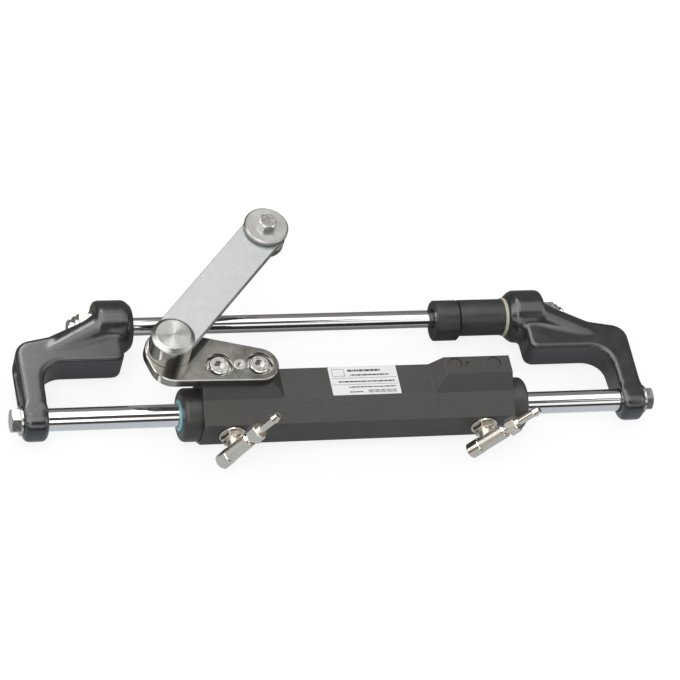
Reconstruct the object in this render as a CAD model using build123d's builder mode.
from build123d import *
import os
from math import cos, radians, sin

os.makedirs("parts", exist_ok=True)

# All sizes are in millimetres. +X runs along both rods, +Y points away from the steering cylinder
# and +Z points up. The origin is the middle of the support rod, on its axis.

# Clearances
running_gap = 0.04  # radial, between pieces that move on each other
seat_gap = 0.02  # radial, between pieces of one body
face_gap = 0.3  # between faces of different bodies
hole_gap = 0.5  # radial, round a bolt

# Common to many pieces
overrun = 1.0  # how far a cut passes a face, or a shank reaches into its head
fine_edge = 0.4
thread_edge = 0.8
hex_crown = 0.97  # the flat round face of a hexagon head, as a share of its width across flats
hex_crown_slope = 60.0

# Rods
rod_spacing = 96.0
support_rod_d = 15.875
support_rod_tip = 5.0
piston_rod_d = 20.0
rod_end_chamfer = 1.5
rod_seat_depth = 8.0

# Support arms: the span runs along X from the upper boss's inner end to the piston rod's
# shoulder, and depths run along Y from the support rod
arm_end_gap = 2.5
arm_span = 87.5
support_boss_length = 33.5
support_boss_r = 24.0
support_boss_cone = 6.5
support_boss_nose_r = 18.5
support_boss_edge = 2.0
piston_boss_r = 18.0
piston_boss_length = 21.5
piston_boss_edge = 3.0
arm_thickness = 30.0
arm_leg_width = 18.0
arm_leg_setback = 0.5
arm_beam_front = 45.5
arm_beam_start = 12.5
arm_corner_back = 24.0
arm_slope_rise = 15.0
arm_inner_bend = 24.0
arm_outer_bend = 15.0
arm_beam_bend = 8.0
arm_edge_round = 2.5
arm_pocket_depth = 4.0
arm_pocket_length = 38.0
arm_pocket_height = 16.0
arm_pocket_bend = 5.0
ridge_root_r = 22.0
ridge_tip_r = 13.5
ridge_tip_setback = 1.0
nut_pocket_r = 16.5
nut_pocket_length = 45.0

# Fasteners of the two rods
end_bolt_d = 12.0
end_bolt_flats = 19.0
end_bolt_head = 7.5
end_bolt_grip = 20.0
end_washer_d = 34.0
end_washer_t = 2.5
rod_nut_flats = 23.8
rod_nut_height = 11.5
rod_nut_collar_d = 21.0
rod_nut_collar = 4.0
rod_nut_edge = 1.0
rod_washer_d = 30.0
rod_washer_t = 2.5

# Adjusting nut, sleeve and spacer ring on the support rod
sleeve_d = 33.0
sleeve_length = 42.5
sleeve_thread_d = 26.0
sleeve_edge = 1.0
nut_length = 23.0
nut_end_wall = 2.0
nut_mouth_d = 17.5
nut_inner_edge = 1.0
nut_outer_edge = 1.6
nut_lobe_r = 15.0
nut_lobe_offset = 5.3
nut_lobe_angle = 214.0
spacer_d = 35.0
spacer_t = 3.0

# Cylinder body: along X from its own middle, along Y and Z from the piston rod
body_mid_x = 12.0
bore_d = 38.0
front_depth = 25.0
back_depth = 27.0
base_depth = 25.0
lower_edge = 10.0
shoulder_height = 18.0
deck_height = 27.0
deck_front = 4.0
pad_height = 10.0
pad_front = 9.5
pad_length = 61.0
pad_ramp = 12.0

# Bolt pads
pad_bolt_from_end = 15.0
pad_bolt_spacing = 36.0
pad_bolt_y = 20.0
pad_bolt_d = 12.0
pad_bolt_depth = 18.0
pad_dimple_d = 3.2
pad_dimple_depth = 1.5
pad_dimple_offset = 11.0

# Piston
stroke = 204.0
piston_length = 20.0
piston_gap = 0.1
piston_relief_width = 2.5
piston_relief_depth = 0.6
piston_seal_width = 9.0
piston_seal_depth = 3.5
piston_seal_edge = 0.6
piston_end_gap = 0.4
retaining_ring_t = 1.6
retaining_ring_depth = 1.0
retaining_ring_height = 2.0

# Glands
cap_length = 16.0
cap_d = 47.0
cap_round = 4.5
rod_hole_gap = 0.3
gland_seat_length = 27.5
gland_nose_d = 31.0
gland_nose_length = 8.0
gland_nose_edge = 1.0
bush_wall = 1.5
bush_length = 18.0
rod_seal_wall = 4.0
rod_seal_length = 8.0
rod_seal_groove = 2.5
rod_seal_lip = 0.6
seal_land = 3.0
wiper_d = 27.5
wiper_pocket = 6.0
wiper_lip = 1.5
wiper_slope = 1.8
gland_ring_width = 4.0
gland_ring_depth = 2.6
gland_ring_edge = 1.2
gland_ring_land = 4.0

# Ports and tee fittings
port_from_end = 26.5
port_z = 5.0
port_d = 10.0
port_drill_d = 5.0
port_depth = 5.5
port_washer_d = 23.5
port_washer_t = 2.0
port_nut_flats = 19.0
port_nut_t = 5.0
tee_neck_d = 13.0
tee_reach = 17.0
tee_barrel_d = 13.5
tee_half = 20.0
tee_collar_d = 14.4
tee_collar_length = 13.0
tee_edge = 0.8
tee_passage_d = 4.0
hose_thread_d = 9.0
hose_thread_depth = 12.0
left_tee_angle = 62.0
right_tee_angle = 53.0
bleed_flats = 14.0
bleed_hex = 10.0
bleed_neck_d = 9.0
bleed_neck = 4.0
bleed_seat_depth = 9.0
nipple_d = 6.5
nipple_bead_d = 7.8
nipple_bead_length = 5.0
nipple_length = 19.0
nipple_bore_d = 2.6
nipple_tip_slope = 0.6

# Pivot plate and its fasteners
plate_t = 9.0
plate_screw_end_r = 17.0
plate_pivot_r = 21.5
plate_corner_r = 20.0
plate_corner_drop = 12.0
plate_corner_shift = 2.0
plate_edge = 0.8
counterbore_d = 24.0
counterbore_depth = 6.8
plate_washer_t = 1.2
screw_head_d = 18.0
screw_head_h = 5.4
screw_hex = 8.0
screw_hex_depth = 4.0
screw_grip = 15.0
locating_d = 8.0
locating_head_d = 11.4
locating_head_h = 2.5
locating_hex = 4.0
locating_grip = 12.0

# Pivot and link: the pivot is placed from the inner bolt of the left pad
pivot_from_bolt = 78.0
pivot_y = 36.5
hub_d = 38.0
hub_height = 20.0
hub_edge = 0.3
pivot_pin_d = 16.0
pin_head_t = 3.4
pin_head_chamfer = 3.0
pin_head_slope = 3.9
pin_nut_flats = 24.0
pin_nut_t = 8.0
pin_tip = 2.0
pin_edge = 1.0
pivot_bush_wall = 2.0
link_length = 153.5
link_width = 36.5
link_t = 8.0
link_angle = 48.25
link_edge = 0.5

# Tiller bolt at the link's far end
tiller_bolt_d = 9.525
tiller_bolt_flats = 14.3
tiller_bolt_head = 6.3
tiller_bolt_tip = 18.0
tiller_neck = 1.2
tiller_neck_depth = 0.5
tiller_sleeve_wall = 1.6
tiller_bush_wall = 2.4
top_disc_d = 40.0
top_disc_t = 5.5
top_disc_edge = 1.4
lower_spacer_d = 39.0
lower_spacer_t = 9.0
lower_spacer_edge = 1.0

# Places worked out from the sizes above
support_r = support_rod_d / 2
piston_rod_r = piston_rod_d / 2
bore_r = bore_d / 2
piston_y = -rod_spacing
chamber_half = (stroke + piston_length) / 2 + retaining_ring_t + piston_end_gap
body_half = chamber_half + gland_seat_length
cap_face = body_half + cap_length
arm_opening_half = cap_face + stroke / 2 + arm_end_gap
piston_rod_half = arm_opening_half + rod_seat_depth
piston_boss_outer = arm_opening_half + piston_boss_length
support_boss_inner = arm_opening_half - arm_span
support_boss_outer = support_boss_inner + support_boss_length
support_rod_half = support_boss_outer + rod_washer_t + rod_nut_height + rod_nut_collar + support_rod_tip
pad_z = deck_height + pad_height
plate_z = pad_z + plate_t
hub_z = plate_z + face_gap
link_top = hub_z + hub_height
link_z = link_top - link_t
pad_bolt_line = piston_y + pad_bolt_y
pad_start = body_half - pad_length
pad_bolt_outer = body_half - pad_bolt_from_end
pad_bolt_inner = pad_bolt_outer - pad_bolt_spacing
port_from_mid = body_half - port_from_end
inner_bolt = Vector(body_mid_x - pad_bolt_inner, pad_bolt_line)
outer_bolt = Vector(body_mid_x - pad_bolt_outer, pad_bolt_line)
locating_hole = (inner_bolt + outer_bolt) / 2
pivot = Vector(inner_bolt.X - pivot_from_bolt, piston_y + pivot_y)
link_end = pivot + Vector(link_length, 0).rotate(Axis.Z, link_angle)
piston_axis = Axis((0, piston_y, 0), (1, 0, 0))
body_plane = Plane.YZ.offset(body_mid_x)


def save(name, shape):
    """Label a finished piece and write it."""
    shape.label = name
    export_step(shape, f"parts/{name}.step")


def save_pair(name, right, middle=Plane.YZ):
    """Write a piece of the right-hand end, and its mirror image at the left-hand end."""
    with BuildPart() as left:
        mirror(right, about=middle)
    save(f"right_{name}", right)
    save(f"left_{name}", left.part)


def across(axis_y, x):
    """The plane across a rod at a distance along it."""
    return Plane(origin=(x, axis_y, 0), x_dir=(0, 1, 0), z_dir=(1, 0, 0))


def along(axis_y, x=0.0):
    """The upright plane through a rod's axis, for half sections that turn about it."""
    return Plane(origin=(x, axis_y, 0), x_dir=(1, 0, 0), z_dir=(0, -1, 0))


def turned(plane, *corners):
    """A solid turned about a plane's own x axis from the corners of its half section."""
    with BuildPart() as made:
        with BuildSketch(plane):
            with BuildLine():
                Polyline(*corners, close=True)
            make_face()
        revolve(axis=Axis(plane.origin, plane.x_dir))
    return made.part


def ring(plane, outer_d, inner_d, length, edge=0.0):
    """A ring that runs along a plane's x axis from its origin, with its outer edges broken."""
    inner_r = inner_d / 2
    outer_r = outer_d / 2
    if edge:
        return turned(
            plane,
            (0, inner_r),
            (0, outer_r - edge),
            (edge, outer_r),
            (length - edge, outer_r),
            (length, outer_r - edge),
            (length, inner_r),
        )
    return turned(plane, (0, inner_r), (0, outer_r), (length, outer_r), (length, inner_r))


def upright(point, z):
    """A plane whose x axis runs upwards from a point in plan, for turned pieces that stand."""
    return Plane(origin=(point.X, point.Y, z), x_dir=(0, 0, 1), z_dir=(0, -1, 0))


def hexagon(plane, flats, height):
    """A hexagon head that stands on a plane, with its outer corners turned down."""
    corner_r = flats / 3**0.5
    with BuildPart() as made:
        with BuildSketch(plane):
            RegularPolygon(flats / 2, 6, major_radius=False)
        extrude(amount=height)
        with BuildSketch(plane):
            Circle(corner_r)
        extrude(amount=height, mode=Mode.INTERSECT)
        with BuildSketch(plane.offset(height)):
            Circle(hex_crown * flats / 2)
        extrude(amount=-height, taper=-hex_crown_slope, mode=Mode.INTERSECT)
    return made.part


# Support rod
support_rod = ring(along(0, -support_rod_half), support_rod_d, 0, 2 * support_rod_half, rod_end_chamfer)
save("support_rod", support_rod)

# Piston rod, with a tapped hole in each end and a groove for each retaining ring
bolt_hole_depth = end_bolt_grip + rod_end_chamfer
with BuildPart() as piston_rod:
    add(ring(along(piston_y, -piston_rod_half), piston_rod_d, 0, 2 * piston_rod_half, fine_edge))
    for side in (-1, 1):
        with BuildSketch(across(piston_y, side * piston_rod_half)):
            Circle(end_bolt_d / 2)
        extrude(amount=-side * bolt_hole_depth, mode=Mode.SUBTRACT)
        with BuildSketch(across(piston_y, side * piston_length / 2)):
            Circle(piston_rod_r + overrun)
            Circle(piston_rod_r - retaining_ring_depth, mode=Mode.SUBTRACT)
        extrude(amount=side * retaining_ring_t, mode=Mode.SUBTRACT)
save("piston_rod", piston_rod.part)

# Piston with its seal groove and two relief grooves, held on the rod by retaining rings
piston_d = bore_d - 2 * piston_gap
seal_floor_d = piston_d - 2 * piston_seal_depth
with BuildPart() as piston:
    piston_bore_d = piston_rod_d + 2 * seat_gap
    add(ring(along(piston_y, -piston_length / 2), piston_d, piston_bore_d, piston_length, fine_edge))
    with BuildSketch(along(piston_y)):
        with Locations((0, piston_d / 2)):
            Rectangle(piston_seal_width, 2 * piston_seal_depth)
        relief_x = (piston_seal_width + piston_length) / 4
        with Locations((-relief_x, piston_d / 2), (relief_x, piston_d / 2)):
            Rectangle(piston_relief_width, 2 * piston_relief_depth)
    revolve(axis=piston_axis, mode=Mode.SUBTRACT)
save("piston", piston.part)

piston_seal_d = bore_d - 2 * running_gap
seal_plane = along(piston_y, -piston_seal_width / 2)
piston_seal = ring(seal_plane, piston_seal_d, seal_floor_d, piston_seal_width, piston_seal_edge)
save("piston_seal", piston_seal)

retaining_ring = ring(
    along(piston_y, piston_length / 2),
    piston_rod_d + 2 * retaining_ring_height,
    piston_rod_d - 2 * retaining_ring_depth,
    retaining_ring_t,
)
save_pair("retaining_ring", retaining_ring)

# Support arm: a cast crank with a round boss on each rod, and a ridge that tapers from the upper
# boss down the back of the beam
beam_start_x = support_boss_inner + arm_beam_start
leg_outer_x = piston_boss_outer - arm_leg_setback
leg_inner_x = leg_outer_x - arm_leg_width
arm_floor = -arm_thickness / 2
corner_y = -arm_corner_back
ridge_root = Vector((support_boss_inner + support_boss_outer) / 2, 0, 0)
ridge_tip = Vector(leg_outer_x - arm_outer_bend, corner_y - ridge_tip_r - ridge_tip_setback, 0)
ridge_run = ridge_tip - ridge_root
with BuildPart() as support_arm:
    with BuildSketch(Plane.XY.offset(arm_floor)) as arm_plan:
        with BuildLine():
            Polyline(
                (beam_start_x, 0),
                (beam_start_x, -arm_beam_front),
                (leg_inner_x, -arm_beam_front),
                (leg_inner_x, piston_y),
                (leg_outer_x, piston_y),
                (leg_outer_x, corner_y),
                (support_boss_outer, corner_y + arm_slope_rise),
                (support_boss_outer, 0),
                close=True,
            )
        make_face()
        corners = arm_plan.vertices()
        fillet(corners.sort_by_distance((leg_inner_x, -arm_beam_front, 0))[0], arm_inner_bend)
        corners = arm_plan.vertices()
        fillet(corners.sort_by_distance((leg_outer_x, corner_y, 0))[0], arm_outer_bend)
        corners = arm_plan.vertices()
        fillet(corners.sort_by_distance((beam_start_x, -arm_beam_front, 0))[0], arm_beam_bend)
    extrude(amount=arm_thickness)
    rims = support_arm.edges().group_by(Axis.Z)
    fillet(rims[0] + rims[-1], arm_edge_round)
    with BuildSketch(Plane(origin=ridge_root, z_dir=ridge_run)):
        Circle(ridge_root_r)
    with BuildSketch(Plane(origin=ridge_tip, z_dir=ridge_run)):
        Circle(ridge_tip_r)
    loft()
    cone_end = support_boss_inner + support_boss_cone
    add(
        turned(
            along(0),
            (support_boss_inner, 0),
            (support_boss_inner, support_boss_nose_r),
            (cone_end, support_boss_r),
            (support_boss_outer - support_boss_edge, support_boss_r),
            (support_boss_outer, support_boss_r - support_boss_edge),
            (support_boss_outer, 0),
        )
    )
    add(
        ring(
            along(piston_y, arm_opening_half),
            2 * piston_boss_r,
            0,
            piston_boss_length,
            piston_boss_edge,
        )
    )
    with BuildSketch(across(0, support_boss_outer)):
        Circle(nut_pocket_r)
    extrude(amount=nut_pocket_length, mode=Mode.SUBTRACT)
    with BuildSketch(across(0, support_boss_inner)):
        Circle(support_r + seat_gap)
    extrude(amount=support_boss_length, mode=Mode.SUBTRACT)
    with BuildSketch(across(piston_y, arm_opening_half)):
        Circle(piston_rod_r + seat_gap)
    extrude(amount=rod_seat_depth, mode=Mode.SUBTRACT)
    with BuildSketch(across(piston_y, arm_opening_half)):
        Circle(end_bolt_d / 2 + hole_gap)
    extrude(amount=piston_boss_length, mode=Mode.SUBTRACT)
    pocket_y = corner_y - arm_outer_bend - arm_pocket_length / 2
    with BuildSketch(across(pocket_y, leg_outer_x)):
        RectangleRounded(arm_pocket_length, arm_pocket_height, arm_pocket_bend)
    extrude(amount=-arm_pocket_depth, mode=Mode.SUBTRACT)
save_pair("support_arm", support_arm.part)

# Washer and lock nut on each end of the support rod
rod_washer_bore = support_rod_d + 2 * seat_gap
rod_washer = ring(along(0, support_boss_outer), rod_washer_d, rod_washer_bore, rod_washer_t, fine_edge)
save_pair("support_washer", rod_washer)

rod_nut_x = support_boss_outer + rod_washer_t
with BuildPart() as rod_nut:
    add(hexagon(across(0, rod_nut_x), rod_nut_flats, rod_nut_height))
    add(ring(along(0, rod_nut_x), rod_nut_collar_d, 0, rod_nut_height + rod_nut_collar, rod_nut_edge))
    with BuildSketch(across(0, rod_nut_x)):
        Circle(support_r + seat_gap)
    extrude(amount=rod_nut_height + rod_nut_collar, mode=Mode.SUBTRACT)
save_pair("support_lock_nut", rod_nut.part)

# Washer and bolt at each end of the piston rod
end_washer_bore = end_bolt_d + 2 * seat_gap
washer_plane = along(piston_y, piston_boss_outer)
end_washer = ring(washer_plane, end_washer_d, end_washer_bore, end_washer_t, fine_edge)
save_pair("end_washer", end_washer)

end_bolt_seat = piston_boss_outer + end_washer_t
with BuildPart() as end_bolt:
    add(hexagon(across(piston_y, end_bolt_seat), end_bolt_flats, end_bolt_head))
    shank_start = piston_rod_half - end_bolt_grip
    shank_length = end_bolt_seat + overrun - shank_start
    shank_d = end_bolt_d - 2 * seat_gap
    add(ring(along(piston_y, shank_start), shank_d, 0, shank_length, thread_edge))
save_pair("end_bolt", end_bolt.part)

# Threaded sleeve, adjusting nut and spacer ring
sleeve_end = support_boss_inner - spacer_t
sleeve_start = sleeve_end - sleeve_length
nut_start = sleeve_start - face_gap - nut_length
thread_start = nut_start + nut_end_wall + face_gap
sleeve_bore_r = support_r + seat_gap
with BuildPart() as threaded_sleeve:
    add(
        turned(
            along(0),
            (thread_start, sleeve_bore_r),
            (thread_start, sleeve_thread_d / 2 - sleeve_edge),
            (thread_start + sleeve_edge, sleeve_thread_d / 2),
            (sleeve_start, sleeve_thread_d / 2),
            (sleeve_start, sleeve_d / 2 - sleeve_edge),
            (sleeve_start + sleeve_edge, sleeve_d / 2),
            (sleeve_end - sleeve_edge / 2, sleeve_d / 2),
            (sleeve_end, sleeve_d / 2 - sleeve_edge / 2),
            (sleeve_end, sleeve_bore_r),
        )
    )
save("threaded_sleeve", threaded_sleeve.part)

with BuildPart() as adjusting_nut:
    with BuildSketch(across(0, nut_start)):
        Circle(sleeve_d / 2)
        with Locations(Vector(nut_lobe_offset, 0).rotate(Axis.Z, nut_lobe_angle)):
            Circle(nut_lobe_r)
        make_hull()
    extrude(amount=nut_length)
    nut_rims = adjusting_nut.edges().group_by(Axis.X)
    chamfer(nut_rims[0], nut_inner_edge)
    chamfer(nut_rims[-1], nut_outer_edge)
    with BuildSketch(across(0, nut_start)):
        Circle(nut_mouth_d / 2)
    extrude(amount=nut_length, mode=Mode.SUBTRACT)
    with BuildSketch(across(0, nut_start + nut_end_wall)):
        Circle(sleeve_thread_d / 2 + running_gap)
    extrude(amount=nut_length, mode=Mode.SUBTRACT)
save("adjusting_nut", adjusting_nut.part)

spacer_bore = support_rod_d + 2 * seat_gap
save("spacer_ring", ring(along(0, sleeve_end), spacer_d, spacer_bore, spacer_t, fine_edge))

# Cylinder barrel: a faceted bar bored through, with a raised pad for two bolts at each end
base_run = base_depth - lower_edge
deck_back = (back_depth, deck_height)
deck_edge = (-deck_front, deck_height)
with BuildPart() as pad:
    with BuildSketch(across(piston_y, body_mid_x + pad_start - pad_ramp)):
        with BuildLine():
            Polyline(
                (-deck_front, deck_height - overrun),
                deck_edge,
                (pad_front, pad_z),
                (back_depth, pad_z),
                (back_depth, deck_height - overrun),
                close=True,
            )
        make_face()
    extrude(amount=body_half - pad_start + pad_ramp)
    with BuildSketch(along(piston_y + back_depth, body_mid_x)):
        with BuildLine():
            Polyline(
                (pad_start - pad_ramp - overrun, deck_height - overrun),
                (pad_start - pad_ramp, deck_height),
                (pad_start, pad_z),
                (body_half, pad_z),
                (body_half, deck_height - overrun),
                close=True,
            )
        make_face()
    extrude(amount=back_depth + deck_front, mode=Mode.INTERSECT)
with BuildPart() as barrel:
    with BuildSketch(across(piston_y, body_mid_x - body_half)):
        with BuildLine():
            Polyline(
                (-front_depth, -lower_edge),
                (-front_depth, shoulder_height),
                deck_edge,
                deck_back,
                (back_depth, -lower_edge),
                (back_depth - base_run, -base_depth),
                (base_run - front_depth, -base_depth),
                close=True,
            )
        make_face()
    extrude(amount=2 * body_half)
    add(pad.part)
    mirror(pad.part, about=body_plane)
    with BuildSketch(across(piston_y, body_mid_x - body_half)):
        Circle(bore_r)
    extrude(amount=2 * body_half, mode=Mode.SUBTRACT)
    with BuildSketch(Plane.XY.offset(pad_z)):
        for bolt_x in (-pad_bolt_outer, -pad_bolt_inner, pad_bolt_inner, pad_bolt_outer):
            with Locations((body_mid_x + bolt_x, pad_bolt_line)):
                Circle(pad_bolt_d / 2)
    extrude(amount=-pad_bolt_depth, mode=Mode.SUBTRACT)
    with BuildSketch(Plane.XY.offset(pad_z)):
        with Locations(locating_hole):
            Circle(locating_d / 2)
    extrude(amount=-locating_grip, mode=Mode.SUBTRACT)
    with BuildSketch(Plane.XY.offset(pad_z)):
        with Locations((body_mid_x + pad_bolt_inner + pad_dimple_offset, pad_bolt_line)):
            Circle(pad_dimple_d / 2)
    extrude(amount=-pad_dimple_depth, mode=Mode.SUBTRACT)
    port_face = along(piston_y - front_depth, body_mid_x)
    with BuildSketch(port_face):
        with Locations((-port_from_mid, port_z), (port_from_mid, port_z)):
            Circle(port_d / 2)
    extrude(amount=-port_depth, mode=Mode.SUBTRACT)
    with BuildSketch(port_face):
        with Locations((-port_from_mid, port_z), (port_from_mid, port_z)):
            Circle(port_drill_d / 2)
    extrude(amount=-front_depth, mode=Mode.SUBTRACT)
save("cylinder_barrel", barrel.part)

# End gland: the round cap, a land that fits the bore and a nose, with pockets for what it carries
bush_outer_r = piston_rod_r + running_gap + bush_wall
bush_pocket_r = bush_outer_r + seat_gap
rod_hole_r = piston_rod_r + rod_hole_gap
rod_seal_r = piston_rod_r + rod_seal_wall
bush_end = chamber_half + bush_length
rod_seal_x = bush_end + seal_land
rod_seal_end = rod_seal_x + rod_seal_length
wiper_x = cap_face - wiper_pocket
nose_end = chamber_half + gland_nose_length
nose_r = gland_nose_d / 2
land_r = bore_r - seat_gap
gland_ring_x = nose_end + gland_ring_land
gland_ring_end = gland_ring_x + gland_ring_width
gland_ring_floor = bore_r - gland_ring_depth
with BuildPart() as gland:
    with BuildSketch(along(piston_y, body_mid_x)) as gland_section:
        with BuildLine():
            Polyline(
                (chamber_half, bush_pocket_r),
                (chamber_half, nose_r - gland_nose_edge),
                (chamber_half + gland_nose_edge, nose_r),
                (nose_end, nose_r),
                (nose_end, land_r),
                (gland_ring_x, land_r),
                (gland_ring_x, gland_ring_floor),
                (gland_ring_end, gland_ring_floor),
                (gland_ring_end, land_r),
                (body_half, land_r),
                (body_half, cap_d / 2),
                (cap_face, cap_d / 2),
                (cap_face, wiper_d / 2),
                (wiper_x, wiper_d / 2),
                (wiper_x, rod_hole_r),
                (rod_seal_end, rod_hole_r),
                (rod_seal_end, rod_seal_r),
                (rod_seal_x, rod_seal_r),
                (rod_seal_x, rod_hole_r),
                (bush_end, rod_hole_r),
                (bush_end, bush_pocket_r),
                close=True,
            )
        make_face()
        fillet(gland_section.vertices().sort_by_distance((cap_face, cap_d / 2, 0))[0], cap_round)
    revolve(axis=piston_axis)
save_pair("end_gland", gland.part, body_plane)

gland_plane = along(piston_y, body_mid_x)
rod_fit_r = piston_rod_r + running_gap
guide_bush = ring(
    along(piston_y, body_mid_x + chamber_half), 2 * bush_outer_r, 2 * rod_fit_r, bush_length
)
save_pair("guide_bush", guide_bush, body_plane)

rod_seal_mid_r = (rod_fit_r + rod_seal_r) / 2
rod_seal = turned(
    gland_plane,
    (rod_seal_x, rod_fit_r),
    (rod_seal_x, rod_seal_mid_r - rod_seal_lip),
    (rod_seal_x + rod_seal_groove, rod_seal_mid_r),
    (rod_seal_x, rod_seal_mid_r + rod_seal_lip),
    (rod_seal_x, rod_seal_r),
    (rod_seal_end, rod_seal_r),
    (rod_seal_end, rod_fit_r),
)
save_pair("rod_seal", rod_seal, body_plane)

rod_wiper = turned(
    gland_plane,
    (wiper_x, rod_fit_r),
    (wiper_x, wiper_d / 2),
    (cap_face + wiper_lip / 2, wiper_d / 2),
    (cap_face + wiper_lip, wiper_d / 2 - wiper_slope / 2),
    (cap_face + wiper_lip, rod_fit_r + wiper_slope / 3),
    (cap_face + wiper_lip / 3, rod_fit_r),
)
save_pair("rod_wiper", rod_wiper, body_plane)

gland_seal = ring(
    along(piston_y, body_mid_x + gland_ring_x),
    bore_d - 2 * seat_gap,
    2 * gland_ring_floor,
    gland_ring_width,
    gland_ring_edge,
)
save_pair("gland_seal", gland_seal, body_plane)

# Port washer, lock nut, tee fitting and bleed screw on each port
tee_axis_y = piston_y - front_depth - tee_reach
neck_start = port_washer_t + port_nut_t


def port_pieces(name, x, angle):
    """Write the washer, lock nut, tee and bleed screw of one port; the tee points up at an angle."""
    port_axis = Plane(origin=(x, piston_y - front_depth, port_z), x_dir=(0, -1, 0), z_dir=(1, 0, 0))
    save(f"{name}_port_washer", ring(port_axis, port_washer_d, port_d, port_washer_t, fine_edge))

    nut_face = along(piston_y - front_depth - port_washer_t)
    with BuildPart() as lock_nut:
        seat = Plane(origin=(x, nut_face.origin.Y, port_z), x_dir=(1, 0, 0), z_dir=(0, -1, 0))
        add(hexagon(seat, port_nut_flats, port_nut_t))
        with BuildSketch(seat):
            Circle(port_d / 2)
        extrude(amount=port_nut_t, mode=Mode.SUBTRACT)
    save(f"{name}_port_nut", lock_nut.part)

    run = Vector(cos(radians(angle)), 0, sin(radians(angle)))
    run_axis = Plane(origin=(x, tee_axis_y, port_z), x_dir=run, z_dir=(0, -1, 0))
    barrel_r = tee_barrel_d / 2
    collar_r = tee_collar_d / 2
    seat_r = bleed_neck_d / 2 + running_gap
    collar_end = tee_collar_length - tee_half
    with BuildPart() as tee:
        add(
            turned(
                run_axis,
                (-tee_half, 0),
                (-tee_half, collar_r - tee_edge),
                (tee_edge - tee_half, collar_r),
                (collar_end - tee_edge, collar_r),
                (collar_end, barrel_r),
                (tee_half - tee_edge, barrel_r),
                (tee_half, barrel_r - tee_edge),
                (tee_half, 0),
            )
        )
        with BuildSketch(Plane(origin=(x, tee_axis_y, port_z), z_dir=(0, 1, 0))):
            Circle(tee_neck_d / 2)
        extrude(amount=tee_reach - neck_start)
        with BuildSketch(Plane(origin=(x, tee_axis_y, port_z), z_dir=(0, 1, 0))):
            Circle(port_d / 2 - seat_gap)
        extrude(amount=tee_reach + port_depth)
        low_end = Plane(origin=run_axis.origin - run * tee_half, z_dir=run)
        with BuildSketch(low_end):
            Circle(hose_thread_d / 2)
        extrude(amount=hose_thread_depth, mode=Mode.SUBTRACT)
        with BuildSketch(low_end):
            Circle(tee_passage_d / 2)
        extrude(amount=2 * tee_half, mode=Mode.SUBTRACT)
        with BuildSketch(low_end.offset(2 * tee_half - bleed_seat_depth)):
            Circle(seat_r)
        extrude(amount=bleed_seat_depth, mode=Mode.SUBTRACT)
        with BuildSketch(Plane(origin=(x, tee_axis_y, port_z), z_dir=(0, 1, 0))):
            Circle(tee_passage_d / 2)
        extrude(amount=tee_reach + port_depth, mode=Mode.SUBTRACT)
    save(f"{name}_tee_fitting", tee.part)

    hex_start = tee_half + bleed_neck
    nipple_start = hex_start + bleed_hex
    nipple_end = nipple_start + nipple_length
    bead_start = nipple_end - nipple_bead_length
    nipple_r = nipple_d / 2
    with BuildPart() as bleed_screw:
        add(hexagon(Plane(origin=run_axis.origin + run * hex_start, z_dir=run), bleed_flats, bleed_hex))
        add(
            turned(
                run_axis,
                (tee_half - bleed_seat_depth + face_gap, 0),
                (tee_half - bleed_seat_depth + face_gap, bleed_neck_d / 2 - thread_edge),
                (tee_half - bleed_seat_depth + face_gap + thread_edge, bleed_neck_d / 2),
                (hex_start, bleed_neck_d / 2),
                (nipple_start, nipple_r),
                (bead_start, nipple_r),
                (bead_start + thread_edge, nipple_bead_d / 2),
                (nipple_end, nipple_r - nipple_tip_slope),
                (nipple_end, 0),
            )
        )
        with BuildSketch(Plane(origin=run_axis.origin + run * nipple_end, z_dir=run)):
            Circle(nipple_bore_d / 2)
        extrude(amount=hex_start - nipple_end, mode=Mode.SUBTRACT)
    save(f"{name}_bleed_screw", bleed_screw.part)


port_pieces("left", body_mid_x - port_from_mid, left_tee_angle)
port_pieces("right", body_mid_x + port_from_mid, right_tee_angle)

# Pivot plate, bolted on the left pad and carrying the link's pivot beyond the body's end
corner_centre = Vector(pivot.X + plate_corner_shift, pivot.Y - plate_corner_drop)
with BuildPart() as pivot_plate:
    with BuildSketch(Plane.XY.offset(pad_z)):
        with Locations(inner_bolt):
            Circle(plate_screw_end_r)
        with Locations(pivot):
            Circle(plate_pivot_r)
        with Locations(corner_centre):
            Circle(plate_corner_r)
        make_hull()
    extrude(amount=plate_t)
    chamfer(pivot_plate.edges().group_by(Axis.Z)[-1], plate_edge)
    with BuildSketch(Plane.XY.offset(plate_z)):
        with Locations(inner_bolt, outer_bolt):
            Circle(counterbore_d / 2)
    extrude(amount=-counterbore_depth, mode=Mode.SUBTRACT)
    with BuildSketch(Plane.XY.offset(plate_z)):
        with Locations(inner_bolt, outer_bolt):
            Circle(pad_bolt_d / 2 + hole_gap)
        with Locations(locating_hole):
            Circle(locating_d / 2)
        with Locations(pivot):
            Circle(pivot_pin_d / 2 + seat_gap)
    extrude(amount=-plate_t, mode=Mode.SUBTRACT)
    with BuildSketch(Plane.XY.offset(plate_z)):
        with Locations(locating_hole):
            Circle(locating_head_d / 2 + seat_gap)
    extrude(amount=-locating_head_h, mode=Mode.SUBTRACT)
save("pivot_plate", pivot_plate.part)

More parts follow.
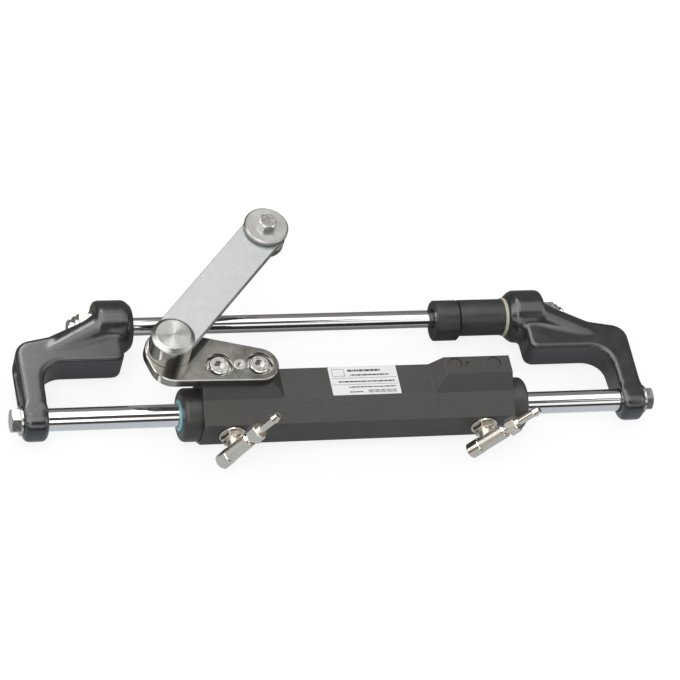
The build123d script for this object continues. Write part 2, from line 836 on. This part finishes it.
counterbore_z = plate_z - counterbore_depth
screw_seat_z = counterbore_z + plate_washer_t
for name, bolt in (("left", outer_bolt), ("right", inner_bolt)):
    washer_d = counterbore_d - 2 * hole_gap
    washer_bore = pad_bolt_d + 2 * seat_gap
    plate_washer = ring(upright(bolt, counterbore_z), washer_d, washer_bore, plate_washer_t, fine_edge)
    save(f"{name}_plate_washer", plate_washer)
    with BuildPart() as plate_screw:
        add(ring(upright(bolt, screw_seat_z), screw_head_d, 0, screw_head_h, thread_edge))
        shank_foot = pad_z - screw_grip
        shank_d = pad_bolt_d - 2 * seat_gap
        add(ring(upright(bolt, shank_foot), shank_d, 0, screw_seat_z + overrun - shank_foot, thread_edge))
        with BuildSketch(Plane.XY.offset(screw_seat_z + screw_head_h)):
            with Locations(bolt):
                RegularPolygon(screw_hex / 2, 6, major_radius=False)
        extrude(amount=-screw_hex_depth, mode=Mode.SUBTRACT)
    save(f"{name}_plate_screw", plate_screw.part)

with BuildPart() as locating_screw:
    locating_foot = pad_z - locating_grip + overrun
    locating_shank_d = locating_d - 2 * seat_gap
    locating_length = plate_z - locating_foot
    add(ring(upright(locating_hole, locating_foot), locating_shank_d, 0, locating_length, fine_edge))
    head_foot = plate_z - locating_head_h
    add(ring(upright(locating_hole, head_foot), locating_head_d, 0, locating_head_h, fine_edge))
    with BuildSketch(Plane.XY.offset(plate_z)):
        with Locations(locating_hole):
            RegularPolygon(locating_hex / 2, 6, major_radius=False)
    extrude(amount=-locating_head_h, mode=Mode.SUBTRACT)
save("locating_screw", locating_screw.part)

# Pivot pin with its broad polished head, and the nut that holds it under the plate
pin_r = pivot_pin_d / 2
pin_head_z = link_top + face_gap
pin_top = pin_head_z + pin_head_t
pin_foot = pad_z - pin_nut_t - pin_tip
pin_head_r = hub_d / 2
pivot_pin = turned(
    upright(pivot, 0),
    (pin_foot, 0),
    (pin_foot, pin_r - pin_edge),
    (pin_foot + pin_edge, pin_r),
    (pin_head_z, pin_r),
    (pin_head_z, pin_head_r),
    (pin_top - pin_head_chamfer, pin_head_r),
    (pin_top, pin_head_r - pin_head_slope),
    (pin_top, 0),
)
save("pivot_pin", pivot_pin)

with BuildPart() as pin_nut:
    nut_seat = Plane(origin=(pivot.X, pivot.Y, pad_z), z_dir=(0, 0, -1))
    add(hexagon(nut_seat, pin_nut_flats, pin_nut_t))
    with BuildSketch(nut_seat):
        Circle(pin_r + seat_gap)
    extrude(amount=pin_nut_t, mode=Mode.SUBTRACT)
save("pin_nut", pin_nut.part)

# Link: a hub that turns on the pin, a bush in it, and a flat bar to the tiller bolt
bush_r = pin_r + running_gap + pivot_bush_wall
save("pivot_hub", ring(upright(pivot, hub_z), hub_d, 2 * (bush_r + seat_gap), hub_height, hub_edge))
pivot_bush = ring(upright(pivot, hub_z), 2 * bush_r, 2 * (pin_r + running_gap), hub_height)
save("pivot_bush", pivot_bush)

tiller_r = tiller_bolt_d / 2
tiller_sleeve_r = tiller_r + seat_gap + tiller_sleeve_wall
tiller_bush_r = tiller_sleeve_r + running_gap + tiller_bush_wall
link_mid = (pivot + link_end) / 2
with BuildPart() as link_bar:
    with BuildSketch(Plane.XY.offset(link_z)):
        with Locations(Location(link_mid, link_angle)):
            Rectangle(link_length, link_width)
        with Locations(link_end):
            Circle(link_width / 2)
    extrude(amount=link_t)
    top_rim = link_bar.edges().group_by(Axis.Z)[-1]
    chamfer(top_rim, link_edge)
    with BuildSketch(Plane.XY.offset(link_z)):
        with Locations(pivot):
            Circle(hub_d / 2 + seat_gap)
        with Locations(link_end):
            Circle(tiller_bush_r + seat_gap)
    extrude(amount=link_t, mode=Mode.SUBTRACT)
save("link_bar", link_bar.part)

tiller_bush_bore = 2 * (tiller_sleeve_r + running_gap)
tiller_bush = ring(upright(link_end, link_z), 2 * tiller_bush_r, tiller_bush_bore, link_t)
save("tiller_bush", tiller_bush)

# Tiller bolt with the disc above the link, the sleeve through it and the spacer below it
spacer_top = link_z - face_gap
disc_z = link_top + face_gap
disc_top = disc_z + top_disc_t
tiller_bore = tiller_bolt_d + 2 * seat_gap
tiller_sleeve = ring(upright(link_end, spacer_top), 2 * tiller_sleeve_r, tiller_bore, disc_z - spacer_top)
save("tiller_sleeve", tiller_sleeve)
save("top_disc", ring(upright(link_end, disc_z), top_disc_d, tiller_bore, top_disc_t, top_disc_edge))
spacer_z = spacer_top - lower_spacer_t
lower_spacer = ring(
    upright(link_end, spacer_z), lower_spacer_d, tiller_bore, lower_spacer_t, lower_spacer_edge
)
save("lower_spacer", lower_spacer)
with BuildPart() as tiller_bolt:
    add(hexagon(Plane(origin=(link_end.X, link_end.Y, disc_top)), tiller_bolt_flats, tiller_bolt_head))
    shank_length = disc_top + overrun - (spacer_z - tiller_bolt_tip)
    tip_plane = upright(link_end, spacer_z - tiller_bolt_tip)
    add(ring(tip_plane, tiller_bolt_d, 0, shank_length, thread_edge))
    with BuildSketch(Plane(origin=(link_end.X, link_end.Y, spacer_z), z_dir=(0, 0, -1))):
        Circle(tiller_r + overrun)
        Circle(tiller_r - tiller_neck_depth, mode=Mode.SUBTRACT)
    extrude(amount=tiller_neck, mode=Mode.SUBTRACT)
save("tiller_bolt", tiller_bolt.part)
